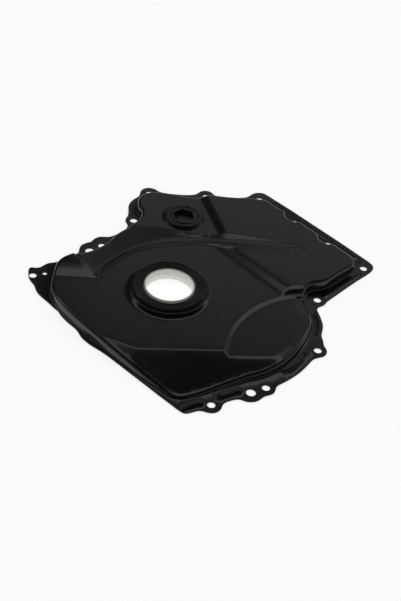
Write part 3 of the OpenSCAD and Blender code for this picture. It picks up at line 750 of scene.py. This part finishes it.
# black glass-filled nylon with a moulded grain of about 0.7 mm, and gloss that drifts over 7 mm
nylon, tree = new_material("black_moulded_nylon")
place = add(tree, "ShaderNodeTexCoord").outputs["Object"]
grain = add(tree, "ShaderNodeTexNoise", {"Vector": place, "Scale": 1500.0, "Detail": 3.0})
cloud = add(tree, "ShaderNodeTexNoise", {"Vector": place, "Scale": 150.0, "Detail": 2.0})
gloss = add(tree, "ShaderNodeMapRange", {"Value": cloud.outputs["Fac"], "From Min": 0.3,
                                         "From Max": 0.7, "To Min": 0.26, "To Max": 0.36})
bump = add(tree, "ShaderNodeBump", {"Height": grain.outputs["Fac"], "Strength": 0.2,
                                    "Distance": 0.0002})
skin = add(tree, "ShaderNodeBsdfPrincipled", {
    "Base Color": linear("191919"), "Roughness": gloss.outputs[0], "Normal": bump.outputs[0],
    "IOR": 1.5})
add(tree, "ShaderNodeOutputMaterial", {"Surface": skin.outputs[0]})
plug.data.materials.append(nylon)
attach(plug, "root")
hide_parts("inspection_plug")


# The studio.
# The part lies on a white table. A long soft box stands behind it, the room beyond is grey, and
# the ceiling and the camera's side are dark, so the black paint shows bands of light.
def flat_sheet(name, size, z):
    return finished(name, [(-size, -size, z), (size, -size, z), (size, size, z), (-size, size, z)],
                    [(0, 1, 2, 3)], 40)


table = flat_sheet("table", 6.0, -0.0002)

# white table top, a little bright of its own like a light table
white, tree = new_material("white_table")
skin = add(tree, "ShaderNodeBsdfPrincipled", {
    "Base Color": linear("f4f4f3"), "Roughness": 0.8, "Emission Color": (1, 1, 1, 1),
    "Emission Strength": 0.8})
add(tree, "ShaderNodeOutputMaterial", {"Surface": skin.outputs[0]})
table.data.materials.append(white)

world = bpy.data.worlds.new("studio")
bpy.context.scene.world = world
world.use_nodes = True
tree = world.node_tree
tree.nodes.clear()
way = add(tree, "ShaderNodeTexCoord").outputs["Generated"]
axes = add(tree, "ShaderNodeSeparateXYZ", {0: way})
room = add(tree, "ShaderNodeValToRGB", {0: axes.outputs[2]})
levels = [(0.0, 0.6), (0.08, 0.16), (0.34, 0.05), (0.45, 0.33), (0.60, 0.40), (0.655, 0.32),
          (0.69, 0.17), (0.715, 0.05), (0.80, 0.03), (1.0, 0.01)]
while len(room.color_ramp.elements) < len(levels):
    room.color_ramp.elements.new(0.5)
for stop, (at, grey) in zip(room.color_ramp.elements, levels):
    stop.position = at
    stop.color = (grey, grey, grey * 0.98, 1)
bearing = add(tree, "ShaderNodeMath", {0: axes.outputs[1], 1: axes.outputs[0]},
              operation="ARCTAN2")
wall_end = add(tree, "ShaderNodeMapRange", {
    "Value": bearing.outputs[0], "From Min": math.radians(138), "From Max": math.radians(147),
    "To Min": 1.0, "To Max": 0.2}, interpolation_type="SMOOTHSTEP")
ahead = add(tree, "ShaderNodeVectorMath", {0: way, 1: (math.cos(math.radians(148)),
                                                       math.sin(math.radians(148)), 0)},
            operation="DOT_PRODUCT")
rise = add(tree, "ShaderNodeMath", {0: axes.outputs[2], 1: ahead.outputs["Value"]},
           operation="DIVIDE")
box = add(tree, "ShaderNodeValToRGB", {0: add(tree, "ShaderNodeMath", {
    0: rise.outputs[0], 1: 2.0}, operation="DIVIDE").outputs[0]})
box_levels = [(0.0, 0.0), (0.622, 0.0), (0.640, 1.45), (0.752, 1.45), (0.768, 0.0)]
while len(box.color_ramp.elements) < len(box_levels):
    box.color_ramp.elements.new(0.5)
for stop, (at, grey) in zip(box.color_ramp.elements, box_levels):
    stop.position = at
    stop.color = (grey, grey, grey, 1)
low_part = add(tree, "ShaderNodeVectorMath", {0: room.outputs[0], "Scale": wall_end.outputs[0]},
               operation="SCALE")
both = add(tree, "ShaderNodeVectorMath", {0: low_part.outputs[0], 1: box.outputs[0]},
           operation="ADD")
glow = add(tree, "ShaderNodeBackground", {"Color": both.outputs[0], "Strength": 1.0})
add(tree, "ShaderNodeOutputWorld", {"Surface": glow.outputs[0]})

camera_data = bpy.data.cameras.new("camera")
camera_data.sensor_fit = "VERTICAL"
camera_data.sensor_height = 36.0
camera_data.lens = 65.40
camera_data.clip_end = 50
camera = bpy.data.objects.new("camera", camera_data)
bpy.context.scene.collection.objects.link(camera)
forward = Vector((-0.508, 0.568, -0.648)).normalized()
level = Vector((0.745, 0.667, 0)).normalized()
up = level.cross(forward).normalized()
roll = math.radians(6.986)
right = math.cos(roll) * level + math.sin(roll) * up
top = math.cos(roll) * up - math.sin(roll) * level
turn = Matrix((right, top, -forward)).transposed().to_4x4()
camera.matrix_world = Matrix.Translation((0.5786, -0.65225, 0.7109)) @ turn
bpy.context.scene.camera = camera
bpy.context.scene.view_settings.view_transform = "Standard"
